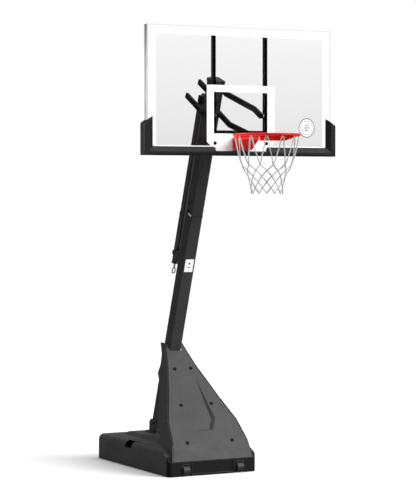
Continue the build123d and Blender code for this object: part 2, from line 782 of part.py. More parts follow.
def make_board():
    half = BOARD_W / 2
    glass = block(-half, half, BOARD_Y, BOARD_BACK, BOARD_BOTTOM, BOARD_TOP)
    for x, z in rim_bolt_places():
        glass -= rod_y(BOARD_Y - 1, BOARD_BACK + 1, x, z, 5.2)
    for x, z in glass_bolt_places():
        glass -= rod_y(BOARD_Y - 1, BOARD_BACK + 1, x, z, 4.2)
    save("glass_panel", glass)

    back = BOARD_BACK + RAIL_DEPTH
    inner = BOARD_TOP - RAIL
    low = BOARD_BOTTOM + RAIL
    reach = half - RAIL
    save("frame_rail_top", hollow_x(-reach, reach, BOARD_BACK, back, inner, BOARD_TOP))
    save("frame_rail_bottom", hollow_x(-reach, reach, BOARD_BACK, back, BOARD_BOTTOM, low))
    side = block(reach, half, BOARD_BACK, back, BOARD_BOTTOM, BOARD_TOP)
    side -= block(reach + 2, half - 2, BOARD_BACK + 2, back - 2, BOARD_BOTTOM + 2, BOARD_TOP - 2)
    for name, rail in zip(("right", "left"), both_sides(side)):
        save("frame_rail_" + name, rail)

    bar_back = BOARD_BACK + BAR_DEPTH
    bar_in = BAR_X - BAR_W / 2
    bar_out = BAR_X + BAR_W / 2
    bar = block(bar_in, bar_out, BOARD_BACK, bar_back, low, inner)
    bar -= block(bar_in + 2, bar_out - 2, BOARD_BACK + 2, bar_back - 2, low - 1, inner + 1)
    bar -= rod_x(0, 300, UPPER_FRONT[0], UPPER_FRONT[1], PIVOT_R + 0.02)
    bar -= rod_y(BOARD_Y, BOARD_BACK + 10, BAR_X, 2484, 4.2)
    save("upright_bars", *both_sides(bar))

    ear_in = bar_in - 5
    py, pz = LOWER_FRONT
    outline = [
        (BOARD_BACK + 1, pz - 34),
        (BOARD_BACK + 1, pz + 34),
        (py - 6, pz + 34),
        (py + 24, pz + 12),
        (py + 24, pz - 14),
        (py - 2, pz - 34),
    ]
    ear = prism_x(outline, ear_in, ear_in + 4.95) - rod_x(0, 300, py, pz, PIVOT_R + 0.02)
    save("lower_pivot_ears", *both_sides(ear))

    reach = ear_in - 0.05
    wide = bar_in - 0.05
    upper = hollow_x(-wide, wide, BOARD_BACK + 6.2, bar_back, 2555, 2577)
    lower = hollow_x(-reach, reach, BOARD_BACK + 6.2, bar_back, low + 0.1, low + 12)
    save("cross_bars", upper, lower)
    plate = block(-78, 78, BOARD_BACK + 0.05, BOARD_BACK + 6.1, low + 0.1, 2577)
    for x, z in rim_bolt_places():
        plate -= rod_y(BOARD_Y, BOARD_BACK + 20, x, z, 5.2)
    save("rim_mount_plate", plate)

    bolts = []
    for x, z in glass_bolt_places():
        head = rod_y(BOARD_Y - 5, BOARD_Y - 0.05, x, z, GLASS_BOLT_R)
        head = chamfer(head.edges().sort_by(Axis.Y)[:1], 2)
        bolts.append(head + rod_y(BOARD_Y - 1, BOARD_BACK + 8, x, z, 4))
    save("glass_bolts", *bolts)


def hollow_x(x0, x1, y0, y1, z0, z1):
    wall = 2.0
    tube = block(x0, x1, y0, y1, z0, z1)
    return tube - block(x0 - 1, x1 + 1, y0 + wall, y1 - wall, z0 + wall, z1 - wall)


def pad_section(top, bevel):
    """Side view of the bottom pad: a lip in front of the glass and a floor under the frame."""
    front = BOARD_Y - PAD_T
    low = BOARD_BOTTOM - PAD_DROP
    return [
        (front, low + 6),
        (front + 6, low),
        (BOARD_BACK + RAIL_DEPTH - 2, low),
        (BOARD_BACK + RAIL_DEPTH, low + 4),
        (BOARD_BACK + RAIL_DEPTH, BOARD_BOTTOM - 0.3),
        (BOARD_Y - 0.3, BOARD_BOTTOM - 0.3),
        (BOARD_Y - 0.3, top),
        (BOARD_Y - 5, top),
        (front, top - bevel),
    ]


def make_pads():
    half = BOARD_W / 2
    out = half + 35
    low = BOARD_BOTTOM - PAD_DROP
    front = BOARD_Y - PAD_T
    seam = BAR_X
    run = prism_x(pad_section(2459, 36), seam + 0.5, out)
    leg_side = [(half - 42, low), (out, low), (out, 2622), (half - 42, 2676)]
    leg = prism_y(leg_side, front, BOARD_BACK + RAIL_DEPTH)
    bevel = Plane.XY * make_face(
        Polyline((half - 42, front), (half - 42, BOARD_Y - 5), (half - 7, front), close=True)
    )
    leg -= extrude(Pos(0, 0, low) * bevel, amount=400)
    leg -= block(0, half + 0.3, BOARD_Y - 0.3, 0, low + 0.1, 2800)
    leg = leg & block(0, out, front, BOARD_BACK + RAIL_DEPTH, low, 2800)
    corner = run + leg
    corner -= block(0, half + 0.3, BOARD_Y - 0.3, 0, BOARD_BOTTOM - 0.3, 2800)
    for name, shape in zip(("right", "left"), both_sides(corner)):
        save("corner_pad_" + name, shape)
    centre = prism_x(pad_section(2428, 8), -seam + 0.5, seam - 0.5)
    save("centre_pad", centre)


# ---------------------------------------------------------------------- rim


def make_rim_mount():
    front = BOARD_Y - 6
    plate = block(-70, 70, front, BOARD_Y - 0.05, 2431, 2522)
    ears = prism_x(
        [
            (front + 1, HINGE_Z - 10),
            (HINGE_Y, HINGE_Z - 10),
            (HINGE_Y - 9, HINGE_Z - 4),
            (HINGE_Y - 9, HINGE_Z + 5),
            (HINGE_Y, HINGE_Z + 10),
            (front + 1, HINGE_Z + 20),
        ],
        52,
        58,
    )
    for ear in both_sides(ears):
        plate += ear
    plate -= rod_x(-90, 90, HINGE_Y, HINGE_Z, 5.02)
    for x, z in rim_bolt_places():
        plate -= rod_y(front - 1, BOARD_Y + 1, x, z, 5.2)
    save("rim_back_plate", plate)
    bolts = []
    for x, z in rim_bolt_places():
        bolt = rod_y(front - 3, BOARD_BACK + 18, x, z, 5)
        bolt += hex_y(front - 6.5, front - 0.05, x, z, 15)
        bolt += hex_y(BOARD_BACK + 6.2, BOARD_BACK + 14, x, z, 15)
        bolts.append(bolt)
    save("rim_bolts", *bolts)
    pin = rod_x(-71, 71, HINGE_Y, HINGE_Z, 5)
    for head in both_sides(rod_x(68.4, 72, HINGE_Y, HINGE_Z, 7.5)):
        pin += head
    save("rim_hinge_pin", pin)
    coil = rod_x(-44, 44, HINGE_Y, HINGE_Z, 9.5) - rod_x(-50, 50, HINGE_Y, HINGE_Z, 6)
    save("breakaway_spring", coil)


def make_rim():
    back = BOARD_Y - 9
    top = RIM_Z - ROD_R
    nose = RIM_Y + RIM_R - 2
    half = BRACKET_HALF
    side = [
        (HINGE_Y + 6, HINGE_Z - 8),
        (back, HINGE_Z + 4),
        (back, top),
        (nose, top),
        (nose, top - 20),
        (HINGE_Y - 22, HINGE_Z - 8),
    ]
    hollow = [
        (HINGE_Y + 40, HINGE_Z - 20),
        (HINGE_Y + 40, top - 4),
        (nose + 4, top - 4),
        (nose + 4, top - 17),
        (HINGE_Y - 19, HINGE_Z - 4),
        (HINGE_Y + 2, HINGE_Z - 20),
    ]
    bracket = prism_x(side, -half, half) - prism_x(hollow, -half + 4, half - 4)
    bracket -= rod_x(-90, 90, HINGE_Y, HINGE_Z, 5.08)
    save("rim_bracket", bracket)
    ring = Pos(0, RIM_Y, RIM_Z) * Torus(RIM_R, ROD_R)
    save("rim_ring", ring)
    save("rim_brace", rim_brace(top, nose))
    hooks = []
    for i in range(12):
        angle = 30 * i
        hook = Rot(0, 0, angle) * Pos(0, -RIM_R + 11, 0) * Rot(0, 90, 0) * Torus(5.5, 2)
        hooks.append(Pos(0, RIM_Y, RIM_Z - 9) * hook)
    save("net_hooks", *hooks)


def rim_brace(top, nose):
    """A curved skirt under the back of the ring, tapering towards the sides."""
    outer = rod_z(top - 30, top, 0, RIM_Y, RIM_R + 2)
    outer -= rod_z(top - 31, top + 1, 0, RIM_Y, RIM_R - 2)
    rear = RIM_Y + 300
    taper = prism_x([(RIM_Y - 25, top), (RIM_Y + 110, top - 30), (rear, top - 30), (rear, top)], -300, 300)
    skirt = outer & taper
    keep_out = block(-BRACKET_HALF - 0.2, BRACKET_HALF + 0.2, nose - 40, nose + 60, top - 60, top + 10)
    return skirt - keep_out


def make_net():
    """The net's closed sleeve: open at the top and bottom, drawn in to its waist."""
    wall = 3.0
    levels = [(-8, 231.0), (-120, 204.0), (-211, 180.0), (-254, 158.0)]
    levels += [(-300, 134.0), (-342, 121.0), (-420, 112.0)]
    outer = [(r, RIM_Z + z) for z, r in levels]
    inner = [(r - wall, z) for r, z in reversed(outer)]
    section = Plane.XZ * make_face(Polyline(*(outer + inner), close=True))
    sleeve = revolve(section, axis=Axis.Z)
    save("net", Pos(0, RIM_Y, -14) * sleeve)


make_base()
make_wheels()
make_pole()
make_foot_bracket()
make_cover()
make_cover_screws()
make_struts()
make_strut_yoke()
make_through_bolts()
make_arms()
make_jack()
make_board()
make_pads()
make_rim_mount()
make_rim()
make_net()

os.makedirs("parts", exist_ok=True)
for part_name, part_shape in parts.items():
    export_step(part_shape, "parts/" + part_name + ".step")
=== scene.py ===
import math
import bmesh
import bpy
from mathutils import Matrix, Vector


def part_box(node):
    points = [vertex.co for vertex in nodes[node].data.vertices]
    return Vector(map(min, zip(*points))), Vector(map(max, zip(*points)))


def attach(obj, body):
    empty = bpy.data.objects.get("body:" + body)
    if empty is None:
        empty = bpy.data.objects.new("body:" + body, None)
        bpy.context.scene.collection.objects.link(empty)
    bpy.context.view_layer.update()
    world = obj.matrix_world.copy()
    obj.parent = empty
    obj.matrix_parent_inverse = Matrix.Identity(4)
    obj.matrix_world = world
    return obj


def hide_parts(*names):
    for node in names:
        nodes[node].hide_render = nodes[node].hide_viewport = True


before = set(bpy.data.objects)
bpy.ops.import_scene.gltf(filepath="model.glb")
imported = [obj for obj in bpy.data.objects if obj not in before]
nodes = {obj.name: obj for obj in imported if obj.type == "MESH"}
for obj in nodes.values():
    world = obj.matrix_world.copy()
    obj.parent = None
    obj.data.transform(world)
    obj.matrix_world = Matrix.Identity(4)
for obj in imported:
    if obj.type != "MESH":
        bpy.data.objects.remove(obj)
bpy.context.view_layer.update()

scene = bpy.context.scene
scene.view_settings.view_transform = "Standard"


# ------------------------------------------------------------ shader pieces


def srgb(value):
    """The linear value of an sRGB level from 0 to 255."""
    v = value / 255
    return v / 12.92 if v <= 0.04045 else ((v + 0.055) / 1.055) ** 2.4


def grey(level, warmth=0.0):
    """A grey at an sRGB level, a little redder and less blue if asked."""
    return (srgb(level + warmth), srgb(level), srgb(level - warmth * 0.6))


def add(tree, kind, values=None, **settings):
    """A new node, with its settings and the values of its inputs."""
    node = tree.nodes.new(kind)
    for key, value in settings.items():
        setattr(node, key, value)
    for key, value in (values or {}).items():
        node.inputs[key].default_value = value
    return node


def new_material(name):
    material = bpy.data.materials.new(name)
    material.use_nodes = True
    tree = material.node_tree
    return material, tree, tree.nodes["Principled BSDF"]


def along(tree, coords, axis):
    """How far a place lies along X, Y or Z."""
    split = add(tree, "ShaderNodeSeparateXYZ")
    tree.links.new(coords, split.inputs["Vector"])
    return split.outputs[axis]


def calculate(tree, operation, a, b, **settings):
    node = add(tree, "ShaderNodeMath", operation=operation, **settings)
    tree.links.new(a, node.inputs[0])
    tree.links.new(b, node.inputs[1])
    return node.outputs["Value"]


def map_range(tree, value, start, end, low=0.0, high=1.0):
    """Goes from low to high as the value goes from start to end, and no further."""
    node = add(tree, "ShaderNodeMapRange",
               {"From Min": start, "From Max": end, "To Min": low, "To Max": high})
    tree.links.new(value, node.inputs["Value"])
    return node.outputs["Result"]


def spread(tree, value, low, high):
    """Takes a noise, which stays near its middle, over all of low to high."""
    return map_range(tree, value, 0.3, 0.7, low, high)


def noise(tree, coords, scale, detail, stretch=None):
    """A noise value over the object, stretched along an axis if asked."""
    if stretch:
        mapping = add(tree, "ShaderNodeMapping", {"Scale": stretch})
        tree.links.new(coords, mapping.inputs["Vector"])
        coords = mapping.outputs["Vector"]
    node = add(tree, "ShaderNodeTexNoise", {"Scale": scale, "Detail": detail})
    tree.links.new(coords, node.inputs["Vector"])
    return node.outputs["Fac"]


def ramp(tree, value, low, high, start=0.35, end=0.65):
    """Colours from low to high as the value goes from start to end."""
    node = add(tree, "ShaderNodeValToRGB")
    for stop, place, colour in zip(node.color_ramp.elements, (start, end), (low, high)):
        stop.position = place
        stop.color = (*colour, 1)
    tree.links.new(value, node.inputs["Fac"])
    return node.outputs["Color"]


def mix(tree, factor, a, b, mode="MIX"):
    """Mixes two colours. In a mix node they are inputs 6 and 7, and the result is output 2."""
    node = add(tree, "ShaderNodeMix", data_type="RGBA", blend_type=mode)
    for socket, value in ((node.inputs[0], factor), (node.inputs[6], a), (node.inputs[7], b)):
        if isinstance(value, bpy.types.NodeSocket):
            tree.links.new(value, socket)
        elif socket.type == "RGBA":
            socket.default_value = (*value, 1)
        else:
            socket.default_value = value
    return node.outputs[2]


def edge_mask(tree, radius):
    """1 along an edge and 0 on a flat face, with the rounded normal that it was read from."""
    bevel = add(tree, "ShaderNodeBevel", {"Radius": radius}, samples=4)
    geometry = add(tree, "ShaderNodeNewGeometry")
    dot = add(tree, "ShaderNodeVectorMath", operation="DOT_PRODUCT")
    tree.links.new(bevel.outputs["Normal"], dot.inputs[0])
    tree.links.new(geometry.outputs["Normal"], dot.inputs[1])
    return map_range(tree, dot.outputs["Value"], 0.995, 0.9), bevel.outputs["Normal"]


# ---------------------------------------------------------------- materials

# Edge lightening: patchy like wear, and partly a painted highlight.
WEAR_AND_HIGHLIGHT_SCALE = 35.0
WEAR_AND_HIGHLIGHT_SHARE = (0.2, 0.9)
WEAR_AND_HIGHLIGHT_LIGHTER = 1.9
COAT_ROUGHNESS = 0.12
SHEEN_ROUGHNESS = 0.5
GLASS_Z = (2.4, 3.33)
GLASS_SMUDGE = (0.0, 0.03)
GLASS_IOR = 1.12


def finish(name, colour, rough, vary=0.12, patch=4.0, grain=700.0, depth=0.25, height=0.0003,
           metal=0.0, specular=0.5, edge=0.0, edge_wear_highlight_colour=None, stretch=None, coat=0.0,
           rough_vary=0.06, speckle=0.06, sheen=0.0, voronoi=False, painted_front_shade=None):
    """A procedural finish: mottled colour, fine speckle, edges lightened by wear and a painted
    highlight, painted front shade, uneven gloss and a relief.

    patch is the scale of the mottling and vary its strength. grain is the scale of the relief, with
    depth and height for its strength, and speckle is the strength of the dots. edge is how wide the
    lightened edges are, which are partly wear and partly a painted highlight. painted_front_shade is
    a Y, a Y behind it and the share of the colour that is left in front of the first, as painted
    shade on the front."""
    material, tree, shader = new_material(name)
    coords = add(tree, "ShaderNodeTexCoord").outputs["Object"]
    dark = tuple(c * (1 - vary) for c in colour)
    light = tuple(min(1.0, c * (1 + vary)) for c in colour)
    base = ramp(tree, noise(tree, coords, patch, 4.0, stretch), dark, light)
    dots = noise(tree, coords, grain * 0.7, 2.0)
    dots = ramp(tree, dots, (1 - speckle,) * 3, (1 + speckle,) * 3)
    base = mix(tree, 1.0, base, dots, "MULTIPLY")
    # Painted shade: the colour is darkened in front of a Y, where the front face lies.
    if painted_front_shade:
        start, end, share = painted_front_shade
        behind = map_range(tree, along(tree, coords, "Y"), start, end)
        shade = ramp(tree, behind, (share,) * 3, (1, 1, 1), 0.0, 1.0)
        base = mix(tree, 1.0, base, shade, "MULTIPLY")
    rounded = None
    # Lighter edges: partly wear, partly a painted highlight along them.
    if edge > 0:
        mask, rounded = edge_mask(tree, edge)
        uneven = spread(tree, noise(tree, coords, WEAR_AND_HIGHLIGHT_SCALE, 4.0), *WEAR_AND_HIGHLIGHT_SHARE)
        worn_and_highlight_colour = edge_wear_highlight_colour or tuple(min(1, c * WEAR_AND_HIGHLIGHT_LIGHTER) for c in colour)
        base = mix(tree, calculate(tree, "MULTIPLY", mask, uneven), base, worn_and_highlight_colour)
    tree.links.new(base, shader.inputs["Base Color"])
    gloss = noise(tree, coords, patch * 6, 4.0)
    gloss = spread(tree, gloss, rough - rough_vary, rough + rough_vary)
    tree.links.new(gloss, shader.inputs["Roughness"])
    shader.inputs["Metallic"].default_value = metal
    shader.inputs["Specular IOR Level"].default_value = specular
    if coat > 0:
        shader.inputs["Coat Weight"].default_value = coat
        shader.inputs["Coat Roughness"].default_value = COAT_ROUGHNESS
    if sheen > 0:
        shader.inputs["Sheen Weight"].default_value = sheen
        shader.inputs["Sheen Roughness"].default_value = SHEEN_ROUGHNESS
    if voronoi:
        cells = add(tree, "ShaderNodeTexVoronoi", {"Scale": grain})
        tree.links.new(coords, cells.inputs["Vector"])
        relief = cells.outputs["Distance"]
    else:
        relief = noise(tree, coords, grain, 2.0, stretch)
    bump = add(tree, "ShaderNodeBump", {"Strength": depth, "Distance": height})
    tree.links.new(relief, bump.inputs["Height"])
    if rounded:
        tree.links.new(rounded, bump.inputs["Normal"])
    tree.links.new(bump.outputs["Normal"], shader.inputs["Normal"])
    return material


def glass_finish():
    """Clear toughened glass, a little greyer towards the bottom."""
    material, tree, shader = new_material("glass_clear")
    coords = add(tree, "ShaderNodeTexCoord").outputs["Object"]
    rise = map_range(tree, along(tree, coords, "Z"), *GLASS_Z)
    tint = ramp(tree, rise, grey(228), grey(248), 0.0, 1.0)
    tree.links.new(tint, shader.inputs["Base Color"])
    smudge = spread(tree, noise(tree, coords, 9.0, 5.0), *GLASS_SMUDGE)
    tree.links.new(smudge, shader.inputs["Roughness"])
    shader.inputs["Transmission Weight"].default_value = 1.0
    shader.inputs["IOR"].default_value = GLASS_IOR
    ripple = add(tree, "ShaderNodeBump", {"Strength": 0.02, "Distance": 0.001})
    tree.links.new(noise(tree, coords, 3.0, 1.0), ripple.inputs["Height"])
    tree.links.new(ripple.outputs["Normal"], shader.inputs["Coat Normal"])
    return material


FINISHES = {
    # The tank's front face is darkened with painted shade.
    "moulded_charcoal": finish("tank_plastic", grey(68, 0.5), 0.58, vary=0.16, patch=5.0,
                               grain=420.0, depth=0.35, height=0.0006, specular=0.14, edge=0.004,
                               voronoi=True, speckle=0.14, painted_front_shade=(-0.606, -0.588, 0.06)),
    "water": finish("ballast_water", (0.4, 0.5, 0.55), 0.1, grain=20.0, depth=0.05),
    "black_plastic": finish("black_plastic", grey(34), 0.5, vary=0.14, patch=22.0, specular=0.3,
                            edge=0.0015),
    "cover_plastic": finish("cover_plastic", grey(60, 0.4), 0.6, vary=0.06, patch=2.6,
                            grain=430.0, depth=0.4, height=0.0006, specular=0.25, edge=0.003,
                            voronoi=True, speckle=0.2),
    "powder_coat": finish("powder_coat", grey(54), 0.46, patch=3.5, grain=900.0, depth=0.3,
                          specular=0.12, edge=0.0016, rough_vary=0.05, speckle=0.1),
    "black_screw": finish("black_oxide", grey(6), 0.5, vary=0.2, patch=60.0, grain=900.0,
                          specular=0.08, edge=0.0006),
    "zinc": finish("zinc_plate", (0.55, 0.55, 0.53), 0.32, vary=0.14, patch=45.0, grain=800.0,
                   metal=1.0, depth=0.12, edge=0.0006),
    "nylon": finish("white_nylon", (0.84, 0.84, 0.82), 0.4, vary=0.04, patch=30.0, grain=600.0,
                    depth=0.1),
    "bronze": finish("bronze", (0.55, 0.38, 0.18), 0.35, vary=0.15, patch=40.0, metal=1.0),
    "frame_grey": finish("silver_anodised", grey(140), 0.42, vary=0.05, patch=2.0, grain=500.0,
                         depth=0.08, metal=0.3, stretch=(1.0, 8.0, 8.0), edge=0.0012,
                         speckle=0.04),
    "pad_foam": finish("pad_foam", grey(12), 0.46, vary=0.16, patch=8.0, grain=520.0, depth=0.4,
                       height=0.0005, specular=0.15, voronoi=True, speckle=0.16),
    "rim_red": finish("rim_red", (srgb(228), srgb(10), srgb(10)), 0.4, vary=0.06, patch=12.0,
                      grain=260.0, depth=0.1, specular=0.22, coat=0.08, edge=0.0012,
                      edge_wear_highlight_colour=(srgb(232), srgb(40), srgb(34))),
    "net_cord": finish("net_cord", grey(176), 0.75, vary=0.05, patch=60.0, grain=900.0, depth=0.5,
                       sheen=0.2, speckle=0.08),
    "glass": glass_finish(),
    "arm_coat": finish("arm_coat", grey(12), 0.5, vary=0.15, patch=6.0, grain=900.0, depth=0.3,
                       specular=0.1, edge=0.0016, edge_wear_highlight_colour=grey(40), speckle=0.1),
    "print_white": finish("white_print", grey(250), 0.5, vary=0.015, patch=5.0, grain=500.0,
                          depth=0.05, speckle=0.01),
    "edge_rubber": finish("edge_rubber", grey(194), 0.55, vary=0.03, patch=12.0, grain=600.0,
                          depth=0.1),
    "jack_enamel": finish("jack_enamel", grey(16), 0.2, patch=9.0, grain=800.0, depth=0.12,
                          specular=0.75, edge=0.0012, rough_vary=0.05),
    "mark_grey": finish("grey_print", grey(104), 0.5, vary=0.06, patch=30.0, grain=500.0,
                        depth=0.05),
}

# Pieces that don't take the finish of their slot.
BLACK_STEEL = ("upper_arm_left", "upper_arm_right", "lower_arm_left", "lower_arm_right",
               "upright_bars", "cross_bars", "lower_pivot_ears", "rim_mount_plate", "jack_head")
OWN_FINISH = dict.fromkeys(BLACK_STEEL, "arm_coat")
OWN_FINISH.update(dict.fromkeys(("jack_outer_tube", "jack_ram_tube"), "jack_enamel"))

for name, obj in nodes.items():
    for place in obj.material_slots:
        place.material = FINISHES[OWN_FINISH.get(name, place.material.name)]


# ------------------------------------------------------------------ shapes

APART = 0.00005  # keeps a thin layer off the face that it lies on


def mesh_from(bm, name, smooth):
    bmesh.ops.recalc_face_normals(bm, faces=bm.faces)
    mesh = bpy.data.meshes.new(name)
    bm.to_mesh(mesh)
    bm.free()
    for polygon in mesh.polygons:
        polygon.use_smooth = smooth
    return mesh


def new_object(name, bm, slot, body, material=None, smooth=False):
    """A piece in a slot and on a body, with its slot's finish unless another is named."""
    mesh = mesh_from(bm, name, smooth)
    obj = bpy.data.objects.new(name, mesh)
    scene.collection.objects.link(obj)
    mesh.materials.append(FINISHES[material or slot])
    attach(obj, body)
    return obj


def smooth_path(points, steps):
    """A Catmull-Rom line through the points."""
    last = len(points) - 1
    line = []
    for i in range(last):
        a, b, c, d = (points[min(max(i + k, 0), last)] for k in (-1, 0, 1, 2))
        for s in range(steps):
            t = s / steps
            line.append(0.5 * (2 * b + (c - a) * t + (2 * a - 5 * b + 4 * c - d) * t * t
                               + (3 * b - a - 3 * c + d) * t * t * t))
    line.append(points[-1].copy())
    return line


def skin(bm, rings):
    """Joins each ring of points to the next and closes both ends."""
    for one, two in zip(rings, rings[1:]):
        count = len(one)
        for k in range(count):
            n = (k + 1) % count
            bm.faces.new((one[k], one[n], two[n], two[k]))
    bm.faces.new(list(reversed(rings[0])))
    bm.faces.new(rings[-1])


def tube(bm, line, radius, sides=8, strands=1, pitch=0.02, lay=0.0, taper=None):
    """Sweeps a round cord along the line, or strands of that radius twisted together.

    lay is how far each strand's middle is from the line and pitch the length of one twist. taper
    gives the share of the radius at a share of the points."""
    last = len(line) - 1
    tangents = [(line[min(i + 1, last)] - line[max(i - 1, 0)]).normalized()
                for i in range(last + 1)]
    normal = tangents[0].orthogonal().normalized()
    frames = []
    travel = 0.0
    for i, tangent in enumerate(tangents):
        if i:
            travel += (line[i] - line[i - 1]).length
            normal = (normal - tangent * normal.dot(tangent)).normalized()
        frames.append((line[i], normal.copy(), tangent.cross(normal), travel))
    for strand in range(strands):
        rings = []
        for i, (centre, u, v, s) in enumerate(frames):
            size = radius * (taper(i / last) if taper else 1.0)
            phase = 2 * math.pi * (s / pitch + strand / strands)
            middle = centre + (u * math.cos(phase) + v * math.sin(phase)) * lay
            ring = []
            for k in range(sides):
                a = 2 * math.pi * k / sides
                ring.append(bm.verts.new(middle + (u * math.cos(a) + v * math.sin(a)) * size))
            rings.append(ring)
        skin(bm, rings)


def lump(bm, centre, axis, radius, length, steps=12, sides=10):
    """A small knot: a rounded barrel with three wraps round it."""
    side = axis.orthogonal().normalized()
    other = axis.cross(side)
    rings = []
    for i in range(steps + 1):
        t = i / steps
        barrel = math.sqrt(max(0.0, math.sin(math.pi * t)))
        wraps = 0.92 + 0.14 * math.cos(6 * math.pi * t)
        reach = max(barrel * wraps, 0.12) * radius
        ring = []
        for k in range(sides):
            a = 2 * math.pi * k / sides
            out = side * math.cos(a) + other * math.sin(a)
            ring.append(bm.verts.new(centre + axis * (t - 0.5) * length + out * reach))
        rings.append(ring)
    skin(bm, rings)


def box_corners(x0, x1, z0, z1):
    return [Vector(p) for p in ((x0, z0), (x1, z0), (x1, z1), (x0, z1))]


def mirrored(right):
    """An outline from the points of its right half, which go upwards."""
    return [Vector(p) for p in right] + [Vector((-x, z)) for x, z in reversed(right)]


def ellipse(centre, half_x, half_z, count):
    turns = [2 * math.pi * k / count for k in range(count)]
    return [Vector(centre) + Vector((half_x * math.cos(a), half_z * math.sin(a))) for a in turns]


def rounded_outline(points, radius, steps=6):
    """The outline with its corners rounded off."""
    out = []
    count = len(points)
    for i, corner in enumerate(points):
        to_before = points[i - 1] - corner
        to_after = points[(i + 1) % count] - corner
        a, b = to_before.normalized(), to_after.normalized()
        longest = 0.49 * min(to_before.length, to_after.length)
        reach = min(radius / math.tan(a.angle(b) / 2), longest)
        start, end = corner + a * reach, corner + b * reach
        for s in range(steps + 1):
            t = s / steps
            out.append(start * (1 - t) ** 2 + corner * 2 * t * (1 - t) + end * t * t)
    return out


def sheet_between(bm, outer, inner, front, back):
    """A flat ring in the XZ plane between two outlines of equal length, from front to back in Y."""
    outer_front, outer_back, inner_front, inner_back = (
        [bm.verts.new((p.x, y, p.y)) for p in outline]
        for outline in (outer, inner) for y in (front, back))
    for one, two in ((outer_front, inner_front), (inner_front, inner_back),
                     (inner_back, outer_back), (outer_back, outer_front)):
        for k in range(len(outer)):
            n = (k + 1) % len(outer)
            bm.faces.new((one[k], one[n], two[n], two[k]))


def plate(bm, outline, front, back):
    """A flat layer in the XZ plane, filled inside its outline, from front to back in Y."""
    skin(bm, [[bm.verts.new((p.x, y, p.y)) for p in outline] for y in (front, back)])


# --------------------------------------------------------------------- net

ring_low, ring_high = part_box("rim_ring")
RING = Vector((0.0, (ring_low.y + ring_high.y) / 2, (ring_low.z + ring_high.z) / 2))
LOOPS = 12
TURN = 180 / LOOPS  # from a knot to the nearest knot of the next row, in degrees
HOOK_R = 0.2255
HOOK_DEPTH = -0.0150
# Heights against the ring and radii, between the hooks and the knots, and then of the knots.
NECK = [(HOOK_DEPTH, HOOK_R), (-0.10, 0.2125), (-0.16, 0.2005)]
KNOTS = [(-0.211, 0.184), (-0.254, 0.158), (-0.295, 0.136),
         (-0.337, 0.122), (-0.381, 0.116), (-0.417, 0.111)]
# Over a hook: turns from its middle in degrees, and heights against it.
OVER_HOOK = [(-1.35, -0.006), (-1.1, 0.001), (-0.5, 0.0048),
             (0.5, 0.0048), (1.1, 0.001), (1.35, -0.006)]
# Under a hook: turns from it in degrees, radii and heights against the ring.
UNDER_HOOK = [(1.0, HOOK_R, HOOK_DEPTH + 0.001), (3.0, 0.2245, -0.036)]
# Along the neck: heights against the ring, and shares of the turn to the first knot.
NECK_BENDS = [(-0.09, 0.36), (-0.15, 0.66)]
STRAND_R = 0.0019
TWIST = {"sides": 7, "strands": 3, "pitch": 0.022, "lay": 0.0015}
WEAVE = 0.0012  # how far cords of one hand lie outside the net's surface, and the others inside
KNOT_R = 0.0040
END_KNOT_R = 0.0048  # of the first and the last row
KNOT_LENGTH = 0.011
TOP_KNOT_LENGTH = 0.015
# How far the knots stray, in degrees, radius and height.
STRAY = (1.8, 0.004, 0.008)


def on_net(turn, radius, depth):
    angle = math.radians(turn)
    return RING + Vector((radius * math.sin(angle), -radius * math.cos(angle), depth))


def net_radius(depth):
    """The net's radius at a height against the ring."""
    known = NECK + KNOTS
    for (z0, r0), (z1, r1) in zip(known, known[1:]):
        if z1 <= depth <= z0:
            return r0 + (r1 - r0) * (z0 - depth) / (z0 - z1)
    return known[-1][1]


def wander(index, amount):
    """A small repeatable offset, so that no two meshes of the net are quite alike."""
    return amount * (math.sin(index * 12.9898) * 43758.5453 % 1.0 - 0.5)


def knot_place(row, turn):
    depth, radius = KNOTS[row]
    seed = row * 2 * LOOPS + turn % 360 / TURN
    stray_turn, stray_radius, stray_depth = STRAY
    return on_net(turn + wander(seed + 0.37, stray_turn),
                  radius + wander(seed + 0.71, stray_radius),
                  depth + wander(seed, stray_depth))


def strand_points(start, hand):
    """From a hook down to a bottom loop tip, round the net to the right or the left."""
    points = [on_net(start + hand * turn, radius, depth) for turn, radius, depth in UNDER_HOOK]
    for depth, share in NECK_BENDS:
        points.append(on_net(start + hand * TURN * share, net_radius(depth), depth))
    for row in range(len(KNOTS)):
        points.append(knot_place(row, start + hand * TURN * (row + 1)))
    return points


def make_net():
    last = len(KNOTS) - 1
    bm = bmesh.new()
    for loop in range(LOOPS):
        start = 2 * TURN * loop
        for hand in (1, -1):
            line = smooth_path(strand_points(start, hand), 14)
            line = [p + Vector((p.x - RING.x, p.y - RING.y, 0)).normalized() * WEAVE * hand
                    for p in line]
            tube(bm, line, STRAND_R, **TWIST)
        over = [on_net(start + turn, HOOK_R, HOOK_DEPTH + rise) for turn, rise in OVER_HOOK]
        tube(bm, smooth_path(over, 6), STRAND_R, **TWIST)
        for row in range(len(KNOTS)):
            centre = knot_place(row, start + (TURN if row % 2 == 0 else 0))
            radius = END_KNOT_R if row in (0, last) else KNOT_R
            length = TOP_KNOT_LENGTH if row == 0 else KNOT_LENGTH
            lump(bm, centre, Vector((0, 0, 1)), radius, length)
    net = new_object("net_cords", bm, "net_cord", "rim", smooth=True)
    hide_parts("net")


make_net()


# -------------------------------------------------------------------- pads

PAD_VOXEL = 0.004
PAD_SMOOTHING = 5


